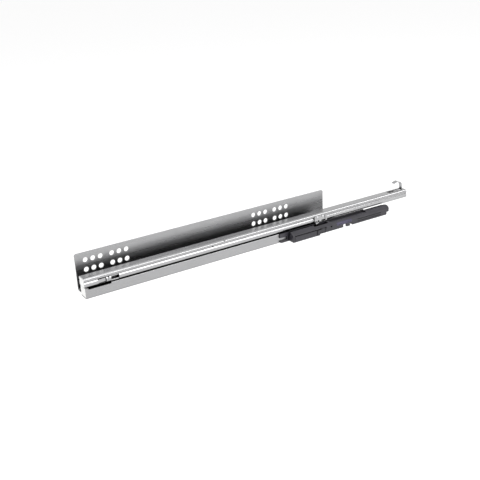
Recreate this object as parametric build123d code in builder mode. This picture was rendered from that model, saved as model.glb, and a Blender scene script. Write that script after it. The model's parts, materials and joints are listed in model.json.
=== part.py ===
"""Concealed undermount drawer slide with a soft-close unit: one left-hand runner, shown closed.

Frame: origin at the centre of the front screw-hole group, on the face that lies against the cabinet side.
+X runs to the back of the cabinet, the drawer opens towards -X, +Y points into the cabinet side, +Z is up.
"""
from build123d import *
import os

# ---------------------------------------------------------------- driving dimensions, millimetres
sheet = 1.2                    # rolled rail steel
bracket_sheet = 1.3            # cabinet bracket steel

# screw holes: two groups of twelve in the cabinet bracket
group_pitch = 224.0            # front group to rear group, seven 32 mm steps
hole_columns = (7.0, 16.0, 25.0)   # distance of the columns from a group's centre
hole_row = 5.75                # half the spacing of the two rows
hole_radius = 3.0

# cabinet bracket: upright plate, bottom web and low near wall, folded from one sheet
plate_front = -37.3
plate_rear = 308.0
plate_top = 15.0
bracket_bottom = -28.2
wall_front = -39.5
wall_top = -15.8
bend_outside = 2.3             # outside radius of the bracket's two bends
lock_notch = (-36.0, -8.7)     # stretch where the near wall is lower, below the drawer's front lock
lock_notch_depth = 1.4

# drawer profile: inverted channel over the guide rail
rail_y = -22.5                 # middle of the rail, across the runner
profile_front = -40.0
profile_rear = 430.0
profile_half = 7.1             # outside half-width
profile_top = -3.75
profile_bottom = -15.0
flange_tip = 3.6               # how near the lower flanges come to the middle

# balls and their races
ball_radius = 1.5
race_radius = 1.55
race_dy = profile_half - sheet - race_radius
upper_race_z = profile_top - sheet - race_radius
lower_race_z = profile_bottom + sheet + race_radius
ball_pitch = 9.0
balls_per_group = 4
cage_length = 116.0
cage_front = 139.0

# guide rail inside the drawer profile
core_front = -35.5
head_half = 4.0                # half-width between the two rows of balls
neck_half = race_dy - race_radius
head_top = upper_race_z + 0.3
web_top = bracket_bottom + bracket_sheet
foot_reach = 10.0              # the foot that is riveted to the web

# soft-close unit on the near wall
wall_face = rail_y - profile_half          # near faces of the wall and of the drawer profile
unit_front = 231.0
unit_rear = 385.0
unit_depth = 11.0                          # how far it stands off the wall
unit_near = wall_face - unit_depth
unit_top = -15.4
unit_shoulder = -19.0                      # where the sloping top meets the near face
slope_depth = 5.4                          # how far off the wall the sloping top starts
unit_bottom = -26.5
chin_bottom = -28.2                        # the deeper front end
chin_rear = 273.0
shell = 1.5
chamber_front = unit_front + 2.2
chamber_rear = 383.0
chamber_top = -17.6
chamber_floor = unit_bottom + shell
chamber_slope = 36.03                      # distance of the chamber's sloping top from Y = 0
chamber_shoulder = -19.58
cover_thickness = 1.2
cover_face = wall_face - cover_thickness   # inside face of the cover
cut_out = (310.5, 326.5)                   # the unit is shallower here
cut_out_top = -22.4
tooth = (316.4, 321.6)                     # tooth that hangs down inside the cut-out
cut_floor = cut_out_top + 0.6

# catch and damper inside the unit
carriage_front = 268.0
carriage_rear = 300.0
claw_y = -32.6
claw_thickness = 1.8
tongue_front = 272.0
tongue_rear = 275.0
tongue_bottom = -18.2
pivot_x = 285.0
pivot_z = -22.2
pin_radius = 1.0
running = 0.05                 # radial clearance of shafts and pins
damper_y = -33.5
damper_z = -20.6
cylinder_front = 329.0
cylinder_rear = 376.0
cylinder_radius = 2.6
bore_radius = 2.1
rod_radius = 1.0
spring_y = -37.5
spring_z = -20.4
spring_radius = 1.2
spring_rear = 372.0


def across(x):
    """Plane square to the runner at x: local x is row +Y from the rail's middle, local y is row +Z."""
    return Plane(origin=(x, rail_y, 0), x_dir=(0, 1, 0), z_dir=(1, 0, 0))


def section(x):
    """Plane square to the runner at x, with row Y and Z as its own coordinates."""
    return Plane(origin=(x, 0, 0), x_dir=(0, 1, 0), z_dir=(1, 0, 0))


def side(y):
    """Upright plane along the runner at y, seen from the near side: local x is row +X, local y is row +Z."""
    return Plane(origin=(0, y, 0), x_dir=(1, 0, 0), z_dir=(0, -1, 0))


def level(z):
    """Level plane at height z."""
    return Plane.XY.offset(z)


def cuboid(low, high, mode=Mode.ADD):
    """A box between two corners, added to or cut from the sub-part in hand."""
    size = [b - a for a, b in zip(low, high)]
    middle = tuple((a + b) / 2 for a, b in zip(low, high))
    with Locations(middle):
        Box(*size, mode=mode)


def save(part, name):
    """Label a finished sub-part and write it to its own file."""
    part.label = name
    export_step(part, f"parts/{name}.step")


os.makedirs("parts", exist_ok=True)


# ================================================================ cabinet side
# ---------------------------------------------------------------- cabinet bracket
foot_rivets = [(x, rail_y + 6.6) for x in (-10.0, 62.0, 134.0, 206.0, 278.0)]
cover_rivets = [(x, -21.0) for x in (240.0, 262.0, 302.0)]
rivet_radius = 1.5

with BuildPart() as cabinet_bracket:
    with BuildSketch(section(wall_front)):
        with BuildLine():
            FilletPolyline(
                (0, plate_top),
                (0, bracket_bottom),
                (wall_face, bracket_bottom),
                (wall_face, wall_top),
                radius=bend_outside,
            )
            FilletPolyline(
                (wall_face + bracket_sheet, wall_top),
                (wall_face + bracket_sheet, web_top),
                (-bracket_sheet, web_top),
                (-bracket_sheet, plate_top),
                radius=bend_outside - bracket_sheet,
            )
            Line((0, plate_top), (-bracket_sheet, plate_top))
            Line((wall_face, wall_top), (wall_face + bracket_sheet, wall_top))
        make_face()
    extrude(amount=plate_rear - wall_front)
    # the plate and the far half of the web start a little behind the near wall
    cuboid(
        (wall_front, rail_y + profile_half, bracket_bottom),
        (plate_front, 0, plate_top),
        mode=Mode.SUBTRACT,
    )
    corners = cabinet_bracket.edges().filter_by(Axis.Y).group_by(Axis.Z)[-1]
    fillet(corners, radius=2.5)
    # the near wall's top edge is rounded outwards, and lower where the front lock reaches in
    long_edges = cabinet_bracket.edges().filter_by(Axis.X)
    lip_edges = long_edges.filter_by_position(Axis.Z, wall_top - 0.01, wall_top + 0.01)
    fillet(lip_edges.sort_by(Axis.Y)[0:1], radius=1.0)
    cuboid(
        (lock_notch[0], wall_face - 1, wall_top - lock_notch_depth),
        (lock_notch[1], wall_face + bracket_sheet + 1, wall_top + 1),
        mode=Mode.SUBTRACT,
    )
    with BuildSketch(side(0)):
        for group in (0, group_pitch):
            for column in hole_columns:
                with Locations((group, 0)):
                    with GridLocations(2 * column, 2 * hole_row, 2, 2):
                        Circle(hole_radius)
    extrude(amount=bracket_sheet, mode=Mode.SUBTRACT)
    with BuildSketch(level(bracket_bottom)):
        with Locations(*foot_rivets):
            Circle(rivet_radius)
    extrude(amount=bracket_sheet, mode=Mode.SUBTRACT)
    with BuildSketch(side(wall_face)):
        with Locations(*cover_rivets):
            Circle(rivet_radius)
    extrude(amount=-bracket_sheet, mode=Mode.SUBTRACT)
save(cabinet_bracket.part, "cabinet_bracket")


# ---------------------------------------------------------------- guide rail
def race_lines(sign, inset):
    """One side of the guide rail's head and neck, from its top edge down to the web."""
    r = race_radius + inset
    neck = neck_half - inset
    waist = head_half - inset
    drop = (r * r - (race_dy - waist) ** 2) ** 0.5
    corner = 2 ** -0.5 * r
    top = (sign * neck, head_top - inset)
    Line(top, (sign * neck, upper_race_z))
    ThreePointArc(
        (sign * neck, upper_race_z),
        (sign * (race_dy - corner), upper_race_z - corner),
        (sign * waist, upper_race_z - drop),
    )
    Line((sign * waist, upper_race_z - drop), (sign * waist, lower_race_z + drop))
    ThreePointArc(
        (sign * waist, lower_race_z + drop),
        (sign * (race_dy - corner), lower_race_z + corner),
        (sign * neck, lower_race_z),
    )
    Line((sign * neck, lower_race_z), (sign * neck, web_top))
    return top


with BuildPart() as guide_rail:
    with BuildSketch(across(core_front)):
        for inset, how in ((0, Mode.ADD), (sheet, Mode.SUBTRACT)):
            with BuildLine():
                far_top = race_lines(1, inset)
                near_top = race_lines(-1, inset)
                Line(far_top, near_top)
                Line((neck_half - inset, web_top), (inset - neck_half, web_top))
            make_face(mode=how)
        with BuildLine():
            Polyline(
                (neck_half, web_top),
                (foot_reach, web_top),
                (foot_reach, web_top + sheet),
                (neck_half, web_top + sheet),
                close=True,
            )
        make_face()
    extrude(amount=plate_rear - core_front)
    with BuildSketch(level(web_top)):
        with Locations(*foot_rivets):
            Circle(rivet_radius)
    extrude(amount=sheet, mode=Mode.SUBTRACT)
save(guide_rail.part, "guide_rail")

with BuildPart() as guide_rail_rivets:
    with BuildSketch(level(bracket_bottom)):
        with Locations(*foot_rivets):
            Circle(rivet_radius)
    extrude(amount=bracket_sheet + sheet)
    with BuildSketch(level(web_top + sheet)):
        with Locations(*foot_rivets):
            Circle(2.8)
    extrude(amount=0.9, taper=25)
save(guide_rail_rivets.part, "guide_rail_rivets")

# ---------------------------------------------------------------- front end pieces of the guide
near_inside = wall_face + bracket_sheet
with BuildPart() as guide_end_cap:
    with BuildSketch(section(wall_front)):
        with BuildLine():
            Polyline(
                (near_inside, wall_top),
                (rail_y + profile_half, wall_top),
                (rail_y + profile_half, web_top),
                (near_inside + 1.0, web_top),
                (near_inside, web_top + 1.0),
                close=True,
            )
        make_face()
    extrude(amount=3.0)
    cuboid(
        (wall_front + 3.0, rail_y - neck_half + sheet, web_top),
        (core_front + 7.0, rail_y + neck_half - sheet, wall_top - 0.5),
    )
    chamfered = guide_end_cap.faces().sort_by(Axis.X)[0].edges()
    chamfer(chamfered, length=0.4)
save(guide_end_cap.part, "guide_end_cap")

with BuildPart() as stop_buffer:
    cuboid(
        (core_front, rail_y - 1.5, lower_race_z),
        (core_front + 6.0, rail_y + 1.5, head_top - sheet),
    )
    cuboid(
        (core_front - 0.7, rail_y - 2.4, lower_race_z),
        (core_front, rail_y + 2.4, head_top - 0.2),
    )
    fillet(stop_buffer.faces().sort_by(Axis.X)[0].edges(), radius=0.3)
save(stop_buffer.part, "stop_buffer")


# ================================================================ drawer side
# ---------------------------------------------------------------- drawer profile
waist_depth = 0.7              # the rolled groove between the two rows of balls
waist_heights = (-7.3, -8.0, -8.8, -9.9)
window = (-8.3, 1.3)
window_top = -8.2
window_bottom = -14.5
lanced = (-23.5, -14.0)        # window of the lanced tongue in front of it
lanced_top = -8.0
lanced_bottom = -13.6
side_reach = wall_face + sheet + 0.2     # how deep the side cuts go, just through the sheet
hook_slot = (402.0, 425.5)
hook_width = 5.0
hook_sheet = 1.0


def channel_lines(sign, inset):
    """One side of the drawer profile, outside (inset 0) or inside (inset one sheet)."""
    half = profile_half - inset
    r = race_radius + sheet - inset
    corner = 2 ** -0.5 * r
    top = profile_top - inset
    bottom = profile_bottom + inset
    dent = waist_depth
    Line((0, top), (sign * race_dy, top))
    ThreePointArc(
        (sign * race_dy, top),
        (sign * (race_dy + corner), upper_race_z + corner),
        (sign * half, upper_race_z),
    )
    waist = half - dent
    start, inner_top, inner_bottom, stop = waist_heights
    Polyline(
        (sign * half, upper_race_z),
        (sign * half, start),
        (sign * waist, inner_top),
        (sign * waist, inner_bottom),
        (sign * half, stop),
        (sign * half, lower_race_z),
    )
    ThreePointArc(
        (sign * half, lower_race_z),
        (sign * (race_dy + corner), lower_race_z - corner),
        (sign * race_dy, bottom),
    )
    Line((sign * race_dy, bottom), (sign * flange_tip, bottom))


with BuildPart() as drawer_profile:
    with BuildSketch(across(profile_front)):
        with BuildLine():
            for hand in (1, -1):
                channel_lines(hand, 0)
                channel_lines(hand, sheet)
                Line(
                    (hand * flange_tip, profile_bottom),
                    (hand * flange_tip, profile_bottom + sheet),
                )
        make_face()
    extrude(amount=profile_rear - profile_front)
    # window for the front lock
    cuboid(
        (window[0], wall_face - 1, window_bottom),
        (window[1], side_reach, window_top),
        mode=Mode.SUBTRACT,
    )
    # tongue lanced out of the side and pushed in at its free end
    cuboid(
        (lanced[0], wall_face - 1, lanced_bottom),
        (lanced[1], side_reach, lanced_top),
        mode=Mode.SUBTRACT,
    )
    with BuildSketch(level(lanced_bottom + 0.9)):
        with BuildLine():
            Polyline(
                (lanced[0] - 0.5, wall_face),
                (lanced[1] - 0.9, wall_face + 0.7),
                (lanced[1] - 0.9, wall_face + 0.7 + sheet),
                (lanced[0] - 0.5, wall_face + sheet),
                close=True,
            )
        make_face()
    extrude(amount=lanced_top - lanced_bottom - 1.7)
    # rib pressed outwards between the tongue and the window
    with BuildSketch(side(wall_face)):
        with Locations(((lanced[1] + window[0]) / 2, (window_top + window_bottom) / 2 + 0.9)):
            SlotOverall(4.4, 1.8, rotation=90)
    extrude(amount=0.5, taper=20)
    # slit along the top beside the near edge, at the front end
    cuboid(
        (profile_front, wall_face + 2.6, profile_top - sheet - 0.2),
        (-26.0, wall_face + 3.3, profile_top + 1),
        mode=Mode.SUBTRACT,
    )
    # gauge slit across the near top edge, and the locating hole in the near side
    cuboid(
        (138.1, wall_face - 1, -5.6),
        (138.9, wall_face + 2.2, profile_top + 1),
        mode=Mode.SUBTRACT,
    )
    with BuildSketch(side(wall_face - 1)):
        with Locations((122.4, -7.8)):
            Circle(1.1)
    extrude(amount=-3, mode=Mode.SUBTRACT)
    # slot that the rear hook was lanced from
    cuboid(
        (hook_slot[0], rail_y - hook_width / 2 - 0.4, profile_top - sheet - 0.2),
        (hook_slot[1], rail_y + hook_width / 2 + 0.4, profile_top + 1),
        mode=Mode.SUBTRACT,
    )
    # rear hook: a strip bent up at the end of its slot and curled forwards over the rail
    with BuildSketch(side(rail_y + hook_width / 2)):
        with BuildLine():
            hook_path = FilletPolyline(
                (hook_slot[1] + 2.3, profile_top - sheet / 2),
                (hook_slot[1] + 0.3, profile_top - sheet / 2),
                (hook_slot[1] - 1.0, 6.2),
                (417.4, 9.2),
                (411.8, 7.2),
                radius=(0.7, 4.2, 4.0),
            )
            offset(hook_path, amount=hook_sheet / 2, side=Side.BOTH)
        make_face()
    extrude(amount=hook_width)
save(drawer_profile.part, "drawer_profile")

# ---------------------------------------------------------------- activator that works the catch
activator_front = 272.0
activator_rear = 291.6
shelf_z = -14.4
tongue_y = (-33.2, -32.0)
activator_rivet_places = [(276.0, -6.9), (284.5, -6.9)]
activator_windows = ((277.0, 279.2), (282.6, 289.4))

with BuildPart() as activator:
    cuboid(
        (activator_front, wall_face - sheet, shelf_z),
        (activator_rear, wall_face, profile_top - 1.9),
    )
    cuboid(
        (activator_front, tongue_y[0], shelf_z),
        (tongue_rear + 1.5, wall_face - sheet, shelf_z + sheet),
    )
    cuboid((tongue_front, tongue_y[0], tongue_bottom), (tongue_rear, tongue_y[1], shelf_z))
    # lead-in on the tongue's tip, and relief windows above the lower edge of the plate
    tip = activator.edges().filter_by(Axis.Y).group_by(Axis.Z)[0]
    chamfer(tip, length=0.5)
    for low, high in activator_windows:
        cuboid(
            (low, wall_face - sheet - 1, shelf_z + 0.8),
            (high, wall_face + 1, shelf_z + 2.5),
            mode=Mode.SUBTRACT,
        )
    # the rear edge is folded out as a stiffening rib
    cuboid(
        (activator_rear - 3.6, wall_face - sheet - 0.6, shelf_z + 3.2),
        (activator_rear - 2.6, wall_face - sheet, profile_top - 2.2),
    )
    with BuildSketch(side(wall_face - sheet)):
        with Locations(*activator_rivet_places):
            Circle(0.9)
    extrude(amount=-sheet, mode=Mode.SUBTRACT)
save(activator.part, "activator")

with BuildPart() as activator_rivets:
    with BuildSketch(side(wall_face)):
        with Locations(*activator_rivet_places):
            Circle(0.9)
    extrude(amount=sheet)
    with BuildSketch(side(wall_face - sheet)):
        with Locations(*activator_rivet_places):
            Circle(1.5)
    extrude(amount=0.5, taper=20)
save(activator_rivets.part, "activator_rivets")

# ---------------------------------------------------------------- front end cap of the drawer profile
with BuildPart() as drawer_end_cap:
    with BuildSketch(across(profile_front)):
        with BuildLine():
            for hand in (1, -1):
                inside_bottom = profile_bottom + sheet
                Line((0, profile_top - sheet), (hand * race_dy, profile_top - sheet))
                RadiusArc(
                    (hand * race_dy, profile_top - sheet),
                    (hand * (race_dy + race_radius), upper_race_z),
                    hand * race_radius,
                )
                Line(
                    (hand * (race_dy + race_radius), upper_race_z),
                    (hand * (race_dy + race_radius), lower_race_z),
                )
                RadiusArc(
                    (hand * (race_dy + race_radius), lower_race_z),
                    (hand * race_dy, inside_bottom),
                    hand * race_radius,
                )
                Line((hand * race_dy, inside_bottom), (hand * flange_tip, inside_bottom))
                Line((hand * flange_tip, inside_bottom), (hand * flange_tip, profile_bottom))
            Line((flange_tip, profile_bottom), (-flange_tip, profile_bottom))
        make_face()
    extrude(amount=3.0)
    # the rolled waist of the profile bites into both sides of the cap
    for hand in (1, -1):
        with BuildSketch(across(profile_front)):
            with BuildLine():
                Polyline(
                    (hand * (profile_half - sheet), waist_heights[0]),
                    (hand * (profile_half - sheet - waist_depth), waist_heights[1]),
                    (hand * (profile_half - sheet - waist_depth), waist_heights[2]),
                    (hand * (profile_half - sheet), waist_heights[3]),
                    close=True,
                )
            make_face()
        extrude(amount=3.0, mode=Mode.SUBTRACT)
save(drawer_end_cap.part, "drawer_end_cap")


# ================================================================ ball cage
cage_out = race_dy + 0.55       # outside half-width of the cage
cage_wall = 0.6
cage_top = profile_top - sheet - 0.3
cage_bottom = -13.1
group_start = 6.0
ball_places = [
    cage_front + start + step * ball_pitch
    for start in (group_start, cage_length - group_start - (balls_per_group - 1) * ball_pitch)
    for step in range(balls_per_group)
]

with BuildPart() as ball_cage:
    with BuildSketch(across(cage_front)):
        with BuildLine():
            cage_path = FilletPolyline(
                (-cage_out, cage_bottom),
                (-cage_out, cage_top),
                (cage_out, cage_top),
                (cage_out, cage_bottom),
                radius=1.3,
            )
            offset(cage_path, amount=-cage_wall, side=Side.RIGHT)
        make_face()
    extrude(amount=cage_length)
    for x in ball_places:
        for hand in (1, -1):
            for z in (upper_race_z, lower_race_z):
                with Locations((x, rail_y + hand * race_dy, z)):
                    Sphere(race_radius, mode=Mode.SUBTRACT)
save(ball_cage.part, "ball_cage")


def ball_row(height):
    """Both rows of balls at one height, as separate solids."""
    balls = []
    for x in ball_places:
        for hand in (1, -1):
            balls.append(Pos(x, rail_y + hand * race_dy, height) * Sphere(ball_radius))
    return Compound(children=balls)


upper_balls = ball_row(upper_race_z)
save(upper_balls, "upper_balls")
lower_balls = ball_row(lower_race_z)
save(lower_balls, "lower_balls")


# ================================================================ soft-close unit
# ---------------------------------------------------------------- housing
slot_y = (-33.8, -31.3)         # channel that the activator's tongue runs through
slot_floor = -18.6
pocket = (267.0, 289.0)         # wider opening in the roof above the claw
pocket_near = -36.4
low_roof = (292.0, 352.0)       # stretch where the roof is lower, in front of the back strip
low_roof_z = -16.6
strip_y = (wall_face - 1.6, wall_face - 0.3)
strip_low = -14.7               # clears the activator
strip_high = -13.9
strip_step = 292.6
guide_slot = (233.4, 283.0)     # slot in the near face for the carriage's guide lug
guide_slot_z = (-20.9, -19.3)
flap_gap = 1.2                  # gap down the front of the spring flap below the slot
flap_bottom = -25.4
recess = (233.2, 269.5)
recess_top = -19.3
recess_depth = 0.9
second_recess = (272.6, 282.2)
peep_x = 291.0                  # round hole in the near face, for assembly
peep_z = -20.4
peep_radius = 1.2
clip_window = (300.0, 324.5)
clip_bottom = cut_floor
lobe_rear = 390.0
lobe_bottom = -22.4
groove_heights = (-21.2, -23.9)
groove_height = 1.0
groove_depth = 0.7


def slope_at(y):
    """Height of the housing's sloping top at a distance across the runner."""
    start = wall_face - slope_depth
    return unit_top + (start - y) / (start - unit_near) * (unit_shoulder - unit_top)


with BuildPart() as damper_housing:
    with BuildSketch(section(unit_front)):
        with BuildLine():
            Polyline(
                (wall_face, unit_top),
                (wall_face - slope_depth, unit_top),
                (unit_near, unit_shoulder),
                (unit_near, unit_bottom),
                (wall_face, unit_bottom),
                close=True,
            )
        make_face()
    extrude(amount=unit_rear - unit_front)
    # rounded lower rear corner
    low_rear = damper_housing.edges().filter_by(Axis.Y).group_by(Axis.X)[-1].sort_by(Axis.Z)[0:1]
    fillet(low_rear, radius=2.0)
    # deeper chin at the front end
    cuboid((unit_front, unit_near, chin_bottom), (chin_rear, wall_face, unit_bottom))
    near_edges = damper_housing.edges().filter_by(Axis.X).group_by(Axis.Y)[0]
    fillet(near_edges, radius=0.8)
    upright = damper_housing.edges().filter_by(Axis.Z).group_by(Axis.X)[0]
    fillet(upright.sort_by(Axis.Y)[0:1], radius=1.4)
    # blunt lobe behind the upper half, rounded in plan
    with BuildSketch(section(unit_rear - 1)):
        with BuildLine():
            Polyline(
                (wall_face - 1, unit_top),
                (wall_face - slope_depth, unit_top),
                (unit_near, unit_shoulder),
                (unit_near, lobe_bottom),
                (wall_face - 1, lobe_bottom),
                close=True,
            )
        make_face()
    extrude(amount=lobe_rear - unit_rear + 1)
    lobe_corners = damper_housing.edges().filter_by(Axis.Z).group_by(Axis.X)[-1]
    fillet(lobe_corners, radius=3.2)
    # chamber, open towards the wall, and the seat of the cover
    with BuildSketch(section(chamber_front)):
        with BuildLine():
            Polyline(
                (wall_face, chamber_top),
                (-chamber_slope, chamber_top),
                (unit_near + shell, chamber_shoulder),
                (unit_near + shell, chamber_floor),
                (wall_face, chamber_floor),
                close=True,
            )
        make_face()
    extrude(amount=chamber_rear - chamber_front, mode=Mode.SUBTRACT)
    cuboid(
        (unit_front, cover_face, chamber_floor - 0.5),
        (chamber_rear, wall_face, chamber_top + 0.8),
        mode=Mode.SUBTRACT,
    )
    # roof channel of the tongue, the pocket over the claw, and the lowered roof
    cuboid(
        (unit_front, slot_y[0], slot_floor),
        (tongue_rear + 4.0, slot_y[1], unit_top),
        mode=Mode.SUBTRACT,
    )
    cuboid(
        (pocket[0], pocket_near, slot_floor),
        (pocket[1], slot_y[1], unit_top),
        mode=Mode.SUBTRACT,
    )
    cuboid(
        (low_roof[0], unit_near, low_roof_z),
        (low_roof[1], wall_face, unit_top),
        mode=Mode.SUBTRACT,
    )
    # back strip that closes the gap under the drawer profile
    strip_low_part = (unit_front, strip_step, strip_low)
    strip_high_part = (strip_step, low_roof[1], strip_high)
    for front, rear, top in (strip_low_part, strip_high_part):
        cuboid((front, strip_y[0], chamber_top + 0.8), (rear, strip_y[1], top))
    cuboid(
        (guide_slot[0], unit_near, guide_slot_z[0]),
        (guide_slot[1], unit_near + shell, guide_slot_z[1]),
        mode=Mode.SUBTRACT,
    )
    cuboid(
        (guide_slot[0], unit_near, flap_bottom),
        (guide_slot[0] + flap_gap, unit_near + shell, guide_slot_z[1]),
        mode=Mode.SUBTRACT,
    )
    # recessed panels of the near face
    with BuildSketch(side(unit_near)):
        with BuildLine():
            FilletPolyline(
                (recess[1], chin_bottom - 1),
                (recess[1], recess_top),
                (recess[0], recess_top),
                (recess[0], chin_bottom - 1),
                radius=(0.6, 2.0),
            )
            Line((recess[0], chin_bottom - 1), (recess[1], chin_bottom - 1))
        make_face()
    extrude(amount=-recess_depth, mode=Mode.SUBTRACT)
    cuboid(
        (second_recess[0], unit_near, chamber_floor),
        (second_recess[1], unit_near + recess_depth / 2, unit_top),
        mode=Mode.SUBTRACT,
    )
    with BuildSketch(side(unit_near)):
        with Locations((peep_x, peep_z)):
            Circle(peep_radius)
    extrude(amount=-shell, mode=Mode.SUBTRACT)
    # seat of the spring cover, through the near wall and the slope above it
    cuboid(
        (clip_window[0], unit_near, clip_bottom),
        (clip_window[1], unit_near + shell, unit_top),
        mode=Mode.SUBTRACT,
    )
    # shallow floor over the cut-out, with the tooth
    cuboid(
        (cut_out[0] - 1, unit_near, chamber_floor),
        (cut_out[1] + 1, cover_face, cut_floor),
    )
    cuboid(
        (cut_out[0], unit_near - 1, unit_bottom - 1),
        (cut_out[1], wall_face + 1, cut_out_top),
        mode=Mode.SUBTRACT,
    )
    cuboid((tooth[0], unit_near, unit_bottom), (tooth[1], unit_near + 3.0, cut_out_top))
    # grooves along the rear section
    for z in groove_heights:
        cuboid(
            (334.0, unit_near, z),
            (374.0, unit_near + groove_depth, z + groove_height),
            mode=Mode.SUBTRACT,
        )
    # two saddles that hold the damper cylinder
    for x in (cylinder_front + 4.0, cylinder_rear - 8.0):
        cuboid(
            (x, damper_y - cylinder_radius - 0.1, chamber_floor),
            (x + 3.0, cover_face, chamber_top),
        )
    with BuildSketch(section(cylinder_front)):
        with Locations((damper_y, damper_z)):
            Circle(cylinder_radius)
    extrude(amount=cylinder_rear - cylinder_front, mode=Mode.SUBTRACT)
    # post that the closing spring hooks on
    cuboid(
        (spring_rear + 1.0, unit_near + shell, chamber_floor),
        (spring_rear + 3.0, spring_y + spring_radius, chamber_shoulder),
    )
save(damper_housing.part, "damper_housing")

# ---------------------------------------------------------------- back cover with its forked nose
nose_front = 217.0
nose_near = wall_face - 1.6
prongs = ((-20.9, -15.6), (-27.8, -24.6))
nose_root = 228.0

with BuildPart() as damper_cover:
    cuboid(
        (nose_root, cover_face, chamber_floor - 0.5),
        (chamber_rear, wall_face, chamber_top + 0.8),
    )
    for low, high in prongs:
        cuboid((nose_front, nose_near, low), (unit_front, wall_face, high))
    cuboid((nose_root, nose_near, prongs[1][1]), (unit_front, wall_face, prongs[0][0]))
    lower_nose = damper_cover.edges().filter_by(Axis.Y).group_by(Axis.X)[0].sort_by(Axis.Z)
    fillet(lower_nose[0:1], radius=2.8)
    fillet(lower_nose[-1:], radius=1.0)
    cuboid(
        (cut_out[0], wall_face - 2, unit_bottom),
        (cut_out[1], wall_face + 1, cut_out_top),
        mode=Mode.SUBTRACT,
    )
    with BuildSketch(side(cover_face)):
        with Locations(*cover_rivets):
            Circle(rivet_radius)
    extrude(amount=-cover_thickness, mode=Mode.SUBTRACT)
save(damper_cover.part, "damper_cover")

with BuildPart() as cover_rivet_set:
    with BuildSketch(side(cover_face)):
        with Locations(*cover_rivets):
            Circle(rivet_radius)
    extrude(amount=-(cover_thickness + bracket_sheet))
    with BuildSketch(side(near_inside).offset(-0.8)):
        with Locations(*cover_rivets):
            Circle(2.6)
    extrude(amount=0.8)
save(cover_rivet_set.part, "cover_rivets")

# ---------------------------------------------------------------- cover of the spring chamber
with BuildPart() as spring_cover:
    with BuildSketch(section(clip_window[0])):
        with BuildLine():
            Polyline(
                (unit_near + shell, slope_at(unit_near + shell)),
                (unit_near, unit_shoulder),
                (unit_near, clip_bottom),
                (unit_near + shell, clip_bottom),
                close=True,
            )
        make_face()
    extrude(amount=clip_window[1] - clip_window[0])
    cover_shoulder = spring_cover.edges().filter_by(Axis.X).group_by(Axis.Y)[0].sort_by(Axis.Z)[-1:]
    fillet(cover_shoulder, radius=0.8)
    # grip grooves across its near face
    for x in (303.0, 306.0, 318.0, 321.0):
        cuboid(
            (x, unit_near, clip_bottom + 0.6),
            (x + 1.2, unit_near + 0.3, unit_shoulder - 0.9),
            mode=Mode.SUBTRACT,
        )
save(spring_cover.part, "spring_cover")

# ---------------------------------------------------------------- damper
with BuildPart() as damper_cylinder:
    with BuildSketch(section(cylinder_front)):
        with Locations((damper_y, damper_z)):
            Circle(cylinder_radius)
            Circle(bore_radius, mode=Mode.SUBTRACT)
    extrude(amount=cylinder_rear - cylinder_front)
save(damper_cylinder.part, "damper_cylinder")

with BuildPart() as rod_seal:
    with BuildSketch(section(cylinder_front)):
        with Locations((damper_y, damper_z)):
            Circle(bore_radius)
            Circle(rod_radius + running, mode=Mode.SUBTRACT)
    extrude(amount=3.0)
save(rod_seal.part, "rod_seal")

with BuildPart() as cylinder_plug:
    with BuildSketch(section(cylinder_rear - 2.5)):
        with Locations((damper_y, damper_z)):
            Circle(bore_radius)
    extrude(amount=2.5)
    with BuildSketch(section(cylinder_rear)):
        with Locations((damper_y, damper_z)):
            Circle(cylinder_radius)
    extrude(amount=1.2, taper=15)
save(cylinder_plug.part, "cylinder_plug")


spring_pitch = 1.1
coil_front = carriage_rear + 1.5
coil_rear = spring_rear - 1.5
turns = round((coil_rear - coil_front) / spring_pitch)
coil_step = (coil_rear - coil_front) / turns
coil_waist = spring_radius - 0.2

# the coiled tension spring as one ribbed solid, with a flat tab for each end loop
with BuildPart() as closing_spring:
    with BuildSketch(Plane(origin=(0, spring_y, spring_z), x_dir=(1, 0, 0), z_dir=(0, 0, 1))):
        with BuildLine():
            Line((coil_front, 0), (coil_front, coil_waist))
            for turn in range(turns):
                start = coil_front + turn * coil_step
                ThreePointArc(
                    (start, coil_waist),
                    (start + coil_step / 2, spring_radius),
                    (start + coil_step, coil_waist),
                )
            Line((coil_rear, coil_waist), (coil_rear, 0))
            Line((coil_rear, 0), (coil_front, 0))
        make_face()
    revolve(axis=Axis((0, spring_y, spring_z), (1, 0, 0)))
    for front, rear in ((carriage_rear, coil_front), (coil_rear, spring_rear + 1.0)):
        cuboid(
            (front, spring_y - 0.3, spring_z - 0.8),
            (rear, spring_y + 0.3, spring_z + 0.8),
        )
save(closing_spring.part, "closing_spring")


# ================================================================ catch
carriage_near = unit_near + shell + 0.3
carriage_back = cover_face - 0.2
carriage_top = chamber_top - 0.8
claw_near = claw_y - claw_thickness / 2
claw_pocket = (claw_near - 0.3, carriage_back)
rod_front = carriage_rear - 6.0

with BuildPart() as catch_carriage:
    with BuildSketch(section(carriage_front)):
        with BuildLine():
            Polyline(
                (carriage_near, chamber_floor + 0.3),
                (carriage_near, carriage_top - 1.4),
                (carriage_near + 2.2, carriage_top),
                (carriage_back, carriage_top),
                (carriage_back, chamber_floor + 0.3),
                close=True,
            )
        make_face()
    extrude(amount=carriage_rear - carriage_front)
    cuboid(
        (carriage_front, claw_pocket[0], chamber_floor + 0.3),
        (carriage_rear - 9.0, claw_pocket[1], carriage_top),
        mode=Mode.SUBTRACT,
    )
    # guide lug that shows in the slot of the near face
    cuboid(
        (275.0, unit_near + 0.3, guide_slot_z[0] + 0.2),
        (281.0, carriage_near, chamber_shoulder - 0.2),
    )
    with BuildSketch(section(rod_front)):
        with Locations((damper_y, damper_z)):
            Circle(rod_radius)
    extrude(amount=carriage_rear - rod_front, mode=Mode.SUBTRACT)
    with BuildSketch(side(claw_pocket[0])):
        with Locations((pivot_x, pivot_z)):
            Circle(pin_radius)
    extrude(amount=3.0, mode=Mode.SUBTRACT)
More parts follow.
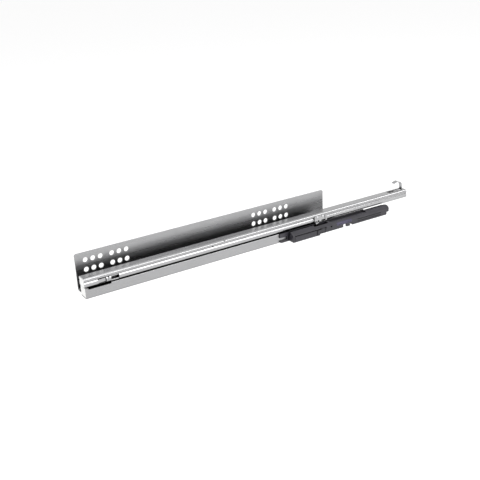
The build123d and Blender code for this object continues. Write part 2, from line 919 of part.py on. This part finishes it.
save(catch_carriage.part, "catch_carriage")

with BuildPart() as catch_pin:
    with BuildSketch(side(claw_pocket[0] - 3.0).offset(0)):
        with Locations((pivot_x, pivot_z)):
            Circle(pin_radius)
    extrude(amount=-(3.0 + 0.3 + claw_thickness + 0.2))
save(catch_pin.part, "catch_pin")

finger_top = tongue_bottom - 0.35
with BuildPart() as catch_claw:
    with BuildSketch(side(claw_near)):
        with BuildLine():
            Polyline(
                (268.8, finger_top),
                (271.3, finger_top),
                (271.5, -20.2),
                (275.5, -20.2),
                (275.7, finger_top),
                (278.2, finger_top),
                (279.4, -20.2),
                (pivot_x + 2.2, -20.2),
                (pivot_x + 2.2, -23.6),
                (pivot_x - 4.0, -23.6),
                (270.4, -22.2),
                (268.8, -21.4),
                close=True,
            )
        make_face()
        with Locations((pivot_x, pivot_z)):
            Circle(pin_radius + running, mode=Mode.SUBTRACT)
    extrude(amount=-claw_thickness)
save(catch_claw.part, "catch_claw")

with BuildPart() as piston_rod:
    with BuildSketch(section(rod_front)):
        with Locations((damper_y, damper_z)):
            Circle(rod_radius)
    extrude(amount=cylinder_rear - 4.5 - rod_front)
save(piston_rod.part, "piston_rod")

with BuildPart() as piston:
    with BuildSketch(section(cylinder_rear - 9.0)):
        with Locations((damper_y, damper_z)):
            Circle(bore_radius - running)
            Circle(rod_radius, mode=Mode.SUBTRACT)
    extrude(amount=4.5)
save(piston.part, "piston")
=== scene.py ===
import json
import math

import bpy
from mathutils import Matrix, Vector


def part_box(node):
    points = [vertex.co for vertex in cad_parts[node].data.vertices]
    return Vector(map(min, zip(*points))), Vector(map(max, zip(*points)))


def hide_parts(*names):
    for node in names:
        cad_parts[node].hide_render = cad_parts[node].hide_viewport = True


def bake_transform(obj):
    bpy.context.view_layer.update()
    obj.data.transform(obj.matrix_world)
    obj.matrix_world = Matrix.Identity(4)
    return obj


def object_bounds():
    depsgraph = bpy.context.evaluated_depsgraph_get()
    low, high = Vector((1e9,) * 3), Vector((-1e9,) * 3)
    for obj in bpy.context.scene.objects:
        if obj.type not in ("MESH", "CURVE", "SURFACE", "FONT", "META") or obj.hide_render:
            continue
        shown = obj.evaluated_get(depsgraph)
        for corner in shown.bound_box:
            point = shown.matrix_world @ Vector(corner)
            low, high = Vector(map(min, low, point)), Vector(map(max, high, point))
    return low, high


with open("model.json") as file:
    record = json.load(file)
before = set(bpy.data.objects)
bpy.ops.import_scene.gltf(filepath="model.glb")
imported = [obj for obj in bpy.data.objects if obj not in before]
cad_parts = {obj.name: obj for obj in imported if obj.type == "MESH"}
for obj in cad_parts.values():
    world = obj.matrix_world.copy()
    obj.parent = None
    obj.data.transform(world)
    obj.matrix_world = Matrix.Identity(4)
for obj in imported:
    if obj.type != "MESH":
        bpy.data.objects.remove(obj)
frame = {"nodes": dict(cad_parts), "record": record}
cad_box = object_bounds()
MM = 0.001

# ------------------------------------------------------------------ camera, floor and light
CAMERA_TARGET = Vector((174.0, -7.2, -19.5)) * MM
CAMERA_DISTANCE = 1.004
CAMERA_AZIMUTH = math.radians(-31.91)
CAMERA_ELEVATION = math.radians(21.79)
CAMERA_ROLL = math.radians(2.73)
CAMERA_LENS = 61.1
OVERHEAD_POWER = 6.5
STRIP_POWER = 8
SKY_LEVELS = (0.95, 0.98)
SKY_STOPS = (0.05, 0.85)
FLOOR_DROP = 0.12               # the floor lies this far below the runner
FLOOR_HALF_SIZE = 12.0
FLOOR_COLOUR = (0.99, 0.99, 0.99, 1)
FLOOR_ROUGHNESS = 0.9
OVERHEAD_PLACE = (0.1, -0.5, 1.6)
OVERHEAD_AIM = (0.15, 0, 0)
OVERHEAD_SIZE = (1.2, 1.2)
STRIP_PLACE = (0.92, -0.94, 0.89)
STRIP_AIM = (0.18, 0, 0)
STRIP_SIZE = (1.7, 0.35)


def add_camera():
    """A long lens from the front left, a little above the runner and slightly rolled."""
    azimuth, elevation = CAMERA_AZIMUTH, CAMERA_ELEVATION
    back = Vector((
        math.sin(azimuth) * math.cos(elevation),
        -math.cos(azimuth) * math.cos(elevation),
        math.sin(elevation),
    ))
    level_right = (-back).cross(Vector((0, 0, 1))).normalized()
    level_up = back.cross(level_right)
    right = level_right * math.cos(CAMERA_ROLL) - level_up * math.sin(CAMERA_ROLL)
    up = level_up * math.cos(CAMERA_ROLL) + level_right * math.sin(CAMERA_ROLL)
    data = bpy.data.cameras.new("camera")
    data.lens = CAMERA_LENS
    data.clip_start = 0.01
    camera = bpy.data.objects.new("camera", data)
    bpy.context.collection.objects.link(camera)
    turn = Matrix((right, up, back)).transposed().to_4x4()
    camera.matrix_world = Matrix.Translation(CAMERA_TARGET + back * CAMERA_DISTANCE) @ turn
    bpy.context.scene.camera = camera


def add_area(name, place, aim, size, power):
    """A soft rectangular light that faces a point."""
    data = bpy.data.lights.new(name, "AREA")
    data.shape = "RECTANGLE"
    data.size, data.size_y = size
    data.energy = power
    light = bpy.data.objects.new(name, data)
    light.location = place
    light.rotation_euler = (Vector(aim) - Vector(place)).to_track_quat("-Z", "Y").to_euler()
    bpy.context.collection.objects.link(light)


def add_world():
    """A soft world that is dimmer near the horizon than overhead."""
    world = bpy.data.worlds.new("world")
    bpy.context.scene.world = world
    world.use_nodes = True
    tree = world.node_tree
    place = tree.nodes.new("ShaderNodeTexCoord")
    split = tree.nodes.new("ShaderNodeSeparateXYZ")
    sky = tree.nodes.new("ShaderNodeValToRGB")
    low, high = sky.color_ramp.elements
    low.position, high.position = SKY_STOPS
    low.color = (SKY_LEVELS[0], SKY_LEVELS[0], SKY_LEVELS[0], 1)
    high.color = (SKY_LEVELS[1], SKY_LEVELS[1], SKY_LEVELS[1], 1)
    background = tree.nodes["Background"]
    tree.links.new(place.outputs["Generated"], split.inputs["Vector"])
    tree.links.new(split.outputs["Z"], sky.inputs["Fac"])
    tree.links.new(sky.outputs["Color"], background.inputs["Color"])
    background.inputs["Strength"].default_value = 1.0


def add_stage():
    """A pale floor well below the runner, which hangs on its screws, a soft world and two lights."""
    floor_z = cad_box[0][2] - FLOOR_DROP
    mesh = bpy.data.meshes.new("floor")
    half = FLOOR_HALF_SIZE
    corners = [(-half, -half, floor_z), (half, -half, floor_z), (half, half, floor_z), (-half, half, floor_z)]
    mesh.from_pydata(corners, [], [(0, 1, 2, 3)])
    floor = bpy.data.objects.new("floor", mesh)
    bpy.context.collection.objects.link(floor)
    paint = bpy.data.materials.new("floor_paint")
    paint.use_nodes = True
    shader = paint.node_tree.nodes["Principled BSDF"]
    shader.inputs["Base Color"].default_value = FLOOR_COLOUR
    shader.inputs["Roughness"].default_value = FLOOR_ROUGHNESS
    mesh.materials.append(paint)
    add_world()
    add_area("overhead", OVERHEAD_PLACE, OVERHEAD_AIM, OVERHEAD_SIZE, OVERHEAD_POWER)
    add_area("front_strip", STRIP_PLACE, STRIP_AIM, STRIP_SIZE, STRIP_POWER)


# ------------------------------------------------------------------ materials
SHEET_EDGE = 0.25 * MM          # rounding of edges on sheet metal and mouldings
TURNED_EDGE = 0.15 * MM         # rounding of edges on rivets, balls and pins
STEEL_CLOUD_SCALE = 60
STEEL_STREAK_SCALE = 900
STREAK_STRETCH = (0.02, 1, 1)
TURNED_GRAIN_SCALE = 2500
PLASTIC_CLOUD_SCALE = 90
PLASTIC_GRAIN_SCALE = 3500
# Painted shade on faces that look down: their colour is scaled down to this share, blended by the normal's
# height between the two limits below.
PAINTED_UNDERSIDE_LEVEL = 0.45          # how bright a face that looks down is, beside one that doesn't
PAINTED_UNDERSIDE_FROM = -0.75
PAINTED_UNDERSIDE_TO = -0.1


def new_material(name):
    """An empty node material and its shader."""
    material = bpy.data.materials.new(name)
    material.use_nodes = True
    return material, material.node_tree, material.node_tree.nodes["Principled BSDF"]


def noise(tree, scale, stretch=(1, 1, 1), detail=4.0, roughness=0.55):
    """Noise in the row frame, scale per metre, with its own stretch along X, Y and Z."""
    place = tree.nodes.new("ShaderNodeTexCoord")
    mapping = tree.nodes.new("ShaderNodeMapping")
    mapping.inputs["Scale"].default_value = stretch
    texture = tree.nodes.new("ShaderNodeTexNoise")
    texture.inputs["Scale"].default_value = scale
    texture.inputs["Detail"].default_value = detail
    texture.inputs["Roughness"].default_value = roughness
    tree.links.new(place.outputs["Object"], mapping.inputs["Vector"])
    tree.links.new(mapping.outputs["Vector"], texture.inputs["Vector"])
    return texture.outputs["Fac"]


def ramp(tree, value, low, high, start=0.3, end=0.7):
    """A colour ramp between two colours."""
    node = tree.nodes.new("ShaderNodeValToRGB")
    node.color_ramp.elements[0].position = start
    node.color_ramp.elements[0].color = (*low, 1)
    node.color_ramp.elements[1].position = end
    node.color_ramp.elements[1].color = (*high, 1)
    tree.links.new(value, node.inputs["Fac"])
    return node.outputs["Color"]


def spread(tree, value, low, high):
    """Maps a 0 to 1 value onto a range of numbers."""
    node = tree.nodes.new("ShaderNodeMapRange")
    node.inputs["To Min"].default_value = low
    node.inputs["To Max"].default_value = high
    tree.links.new(value, node.inputs["Value"])
    return node.outputs["Result"]


def bump(tree, shader, value, strength, distance, under=None):
    """Adds a bump to the shader's normal, over another one where given."""
    node = tree.nodes.new("ShaderNodeBump")
    node.inputs["Strength"].default_value = strength
    node.inputs["Distance"].default_value = distance
    tree.links.new(value, node.inputs["Height"])
    if under is not None:
        tree.links.new(under, node.inputs["Normal"])
    tree.links.new(node.outputs["Normal"], shader.inputs["Normal"])
    return node.outputs["Normal"]


def soft_edges(tree, radius):
    """The normal of edges rounded by a small radius."""
    node = tree.nodes.new("ShaderNodeBevel")
    node.samples = 4
    node.inputs["Radius"].default_value = radius
    return node.outputs["Normal"]


def smooth_level(tree, value, low, high, darkest):
    """Maps a value smoothly from darkest at low to 1 at high."""
    level = tree.nodes.new("ShaderNodeMapRange")
    level.interpolation_type = "SMOOTHSTEP"
    level.inputs["From Min"].default_value = low
    level.inputs["From Max"].default_value = high
    level.inputs["To Min"].default_value = darkest
    tree.links.new(value, level.inputs["Value"])
    return level.outputs["Result"]


def dimmed(tree, colour, level):
    """A colour multiplied by a level."""
    mix = tree.nodes.new("ShaderNodeMix")
    mix.data_type = "RGBA"
    mix.blend_type = "MULTIPLY"
    mix.inputs["Factor"].default_value = 1.0
    tree.links.new(colour, mix.inputs[6])
    tree.links.new(level, mix.inputs[7])
    return mix.outputs[2]


def painted_recess_shade(tree, colour, reach, low, high, darkest):
    """Painted shade: darkens the colour in deep recesses and narrow gaps by their ambient occlusion, where
    shade falls.
    """
    painted_occlusion = tree.nodes.new("ShaderNodeAmbientOcclusion")
    painted_occlusion.samples = 16
    painted_occlusion.inputs["Distance"].default_value = reach
    return dimmed(tree, colour, smooth_level(tree, painted_occlusion.outputs["AO"], low, high, darkest))


def painted_underside_shade(tree, colour):
    """Painted shade: darkens the colour of faces that look down, as if they lay in shadow."""
    surface = tree.nodes.new("ShaderNodeNewGeometry")
    split = tree.nodes.new("ShaderNodeSeparateXYZ")
    tree.links.new(surface.outputs["Normal"], split.inputs["Vector"])
    level = smooth_level(tree, split.outputs["Z"], PAINTED_UNDERSIDE_FROM, PAINTED_UNDERSIDE_TO, PAINTED_UNDERSIDE_LEVEL)
    return dimmed(tree, colour, level)


def rolled_steel(name, dark, light, rough, painted_occlusion):
    """Zinc-plated rolled steel: faint streaks along the runner, cloudy plating, soft edges, and painted shade
    in recesses and on faces that look down.
    """
    material, tree, shader = new_material(name)
    shader.inputs["Metallic"].default_value = 1.0
    clouds = noise(tree, STEEL_CLOUD_SCALE, (0.5, 1, 1), 5)
    streaks = noise(tree, STEEL_STREAK_SCALE, STREAK_STRETCH, 3)
    colour = ramp(tree, clouds, dark, light, 0.25, 0.75)
    # Painted shade: the colour is darkened in recesses and on faces that look down.
    shaded = painted_underside_shade(tree, painted_recess_shade(tree, colour, *painted_occlusion))
    tree.links.new(shaded, shader.inputs["Base Color"])
    tree.links.new(spread(tree, streaks, rough - 0.06, rough + 0.08), shader.inputs["Roughness"])
    bump(tree, shader, streaks, 0.12, 0.04 * MM, soft_edges(tree, SHEET_EDGE))
    return material


def machined_steel(name, colour, rough):
    """Turned or ground steel with fine variation."""
    material, tree, shader = new_material(name)
    shader.inputs["Metallic"].default_value = 1.0
    fine = noise(tree, TURNED_GRAIN_SCALE, (1, 1, 1), 3)
    light = tuple(min(1.0, c * 1.12) for c in colour)
    tree.links.new(ramp(tree, fine, colour, light), shader.inputs["Base Color"])
    tree.links.new(spread(tree, fine, rough * 0.75, rough * 1.25), shader.inputs["Roughness"])
    bump(tree, shader, fine, 0.08, 0.02 * MM, soft_edges(tree, TURNED_EDGE))
    return material


def moulded(name, dark, light, rough, painted_occlusion=None):
    """Moulded plastic with a fine spark-eroded grain and slightly uneven colour, and painted shade in its
    recesses where given.
    """
    material, tree, shader = new_material(name)
    shader.inputs["Specular IOR Level"].default_value = 0.5
    clouds = noise(tree, PLASTIC_CLOUD_SCALE, (0.6, 1, 1), 4)
    grain = noise(tree, PLASTIC_GRAIN_SCALE, (1, 1, 1), 2, 0.6)
    colour = ramp(tree, clouds, dark, light, 0.3, 0.7)
    # Painted shade in the recesses, where its settings are given.
    if painted_occlusion:
        colour = painted_recess_shade(tree, colour, *painted_occlusion)
    tree.links.new(colour, shader.inputs["Base Color"])
    tree.links.new(spread(tree, grain, rough - 0.08, rough + 0.1), shader.inputs["Roughness"])
    bump(tree, shader, grain, 0.25, 0.06 * MM, soft_edges(tree, SHEET_EDGE))
    return material


# ------------------------------------------------------------------ closing spring
WIRE_RADIUS = 0.18 * MM
SPRING_PITCH = 1.05 * MM
SPRING_TAB_FRONT = 1.5 * MM     # the end loops reach this far beyond the coil
SPRING_TAB_REAR = 2.5 * MM
SPRING_END_GAP = 0.03 * MM      # the loops stop this short of the pieces they hang on
TURN_STEPS = 18
LOOP_STEPS = 14
LOOP_SWEEP = math.radians(300)
FRONT_LOOP_START = math.radians(60)
REAR_LOOP_START = math.radians(180)


def loop_points(centre, radius, start, sweep):
    """An arc in the upright plane along the runner, for the spring's end loops."""
    points = []
    for step in range(LOOP_STEPS + 1):
        angle = start + sweep * step / LOOP_STEPS
        points.append(centre + Vector((math.cos(angle), 0, math.sin(angle))) * radius)
    return points


def spring_route(front, rear, middle, radius):
    """The wire's middle line: front loop, close turns, rear loop."""
    turns = round((rear - front) / SPRING_PITCH)
    front_radius = (SPRING_TAB_FRONT - WIRE_RADIUS - SPRING_END_GAP) / 2
    rear_radius = (SPRING_TAB_REAR - WIRE_RADIUS - SPRING_END_GAP) / 2
    front_centre = Vector((front - front_radius, middle.y, middle.z))
    rear_centre = Vector((rear + rear_radius, middle.y, middle.z))
    route = loop_points(front_centre, front_radius, FRONT_LOOP_START, LOOP_SWEEP)
    for step in range(turns * TURN_STEPS + 1):
        share = step / (turns * TURN_STEPS)
        angle = math.tau * turns * share
        route.append(Vector((
            front + (rear - front) * share,
            middle.y + radius * math.sin(angle),
            middle.z + radius * math.cos(angle),
        )))
    return route + loop_points(rear_centre, rear_radius, REAR_LOOP_START, -LOOP_SWEEP)


def add_closing_spring():
    """The wound tension spring, which stretches between the carriage and its post in the housing."""
    low, high = (Vector(corner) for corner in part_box("closing_spring"))
    middle = (low + high) / 2
    front = low.x + SPRING_TAB_FRONT
    rear = high.x - SPRING_TAB_REAR
    radius = (high.z - low.z) / 2 - WIRE_RADIUS
    curve = bpy.data.curves.new("spring_wire", "CURVE")
    curve.dimensions = "3D"
    curve.bevel_depth = WIRE_RADIUS
    curve.bevel_resolution = 2
    curve.use_fill_caps = True
    route = spring_route(front, rear, middle, radius)
    wire = curve.splines.new("POLY")
    wire.points.add(len(route) - 1)
    for point, place in zip(wire.points, route):
        point.co = (*place, 1)
    shape = bpy.data.objects.new("spring_wire", curve)
    mesh = bpy.data.meshes.new_from_object(shape)
    bpy.data.objects.remove(shape)
    spring = bpy.data.objects.new("closing_spring_wire", mesh)
    bpy.context.collection.objects.link(spring)
    for face in mesh.polygons:
        face.use_smooth = True
    dress(spring, MATERIALS["spring_steel"])
    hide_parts("closing_spring")
    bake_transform(spring)


add_camera()
add_stage()

# The four numbers after a steel's or a dark plastic's roughness set its painted recess shade: occlusion
# reach, occlusion range and darkest level.
MATERIALS = {
    "bracket_steel": rolled_steel(
        "bracket_steel", (0.335, 0.335, 0.34), (0.36, 0.36, 0.365), 0.28, (40 * MM, 0.18, 0.62, 0.55)),
    "rail_steel": rolled_steel(
        "rail_steel", (0.36, 0.36, 0.365), (0.41, 0.41, 0.415), 0.17, (6 * MM, 0.3, 0.8, 0.18)),
    "rivet_steel": machined_steel("rivet_steel", (0.60, 0.60, 0.61), 0.30),
    "ball_steel": machined_steel("ball_steel", (0.80, 0.80, 0.82), 0.08),
    "pin_steel": machined_steel("pin_steel", (0.68, 0.68, 0.70), 0.18),
    "spring_steel": machined_steel("spring_steel", (0.50, 0.50, 0.52), 0.25),
    "white_nylon": moulded("white_nylon", (0.84, 0.84, 0.83), (0.90, 0.90, 0.89), 0.45),
    "grey_buffer": moulded("grey_buffer", (0.20, 0.20, 0.21), (0.26, 0.26, 0.27), 0.65),
    "cage_plastic": moulded("cage_plastic", (0.74, 0.74, 0.71), (0.80, 0.80, 0.77), 0.42),
    "dark_plastic": moulded(
        "dark_plastic", (0.018, 0.017, 0.022), (0.030, 0.028, 0.036), 0.34, (4 * MM, 0.45, 0.98, 0.05)),
    "violet_plastic": moulded(
        "violet_plastic", (0.034, 0.029, 0.064), (0.048, 0.041, 0.085), 0.34, (5 * MM, 0.35, 0.95, 0.1)),
    "cylinder_plastic": moulded("cylinder_plastic", (0.16, 0.16, 0.17), (0.22, 0.22, 0.23), 0.38),
    "claw_plastic": moulded("claw_plastic", (0.68, 0.68, 0.66), (0.76, 0.76, 0.74), 0.40),
    "seal_rubber": moulded("seal_rubber", (0.02, 0.02, 0.02), (0.035, 0.035, 0.035), 0.70),
}


def dress(obj, material):
    """Puts one material on an object."""
    obj.data.materials.clear()
    obj.data.materials.append(material)


for part in frame["record"]["subparts"]:
    dress(frame["nodes"][part["node"]], MATERIALS[part["material_slot"]])

add_closing_spring()

bpy.context.scene.view_settings.view_transform = "Standard"
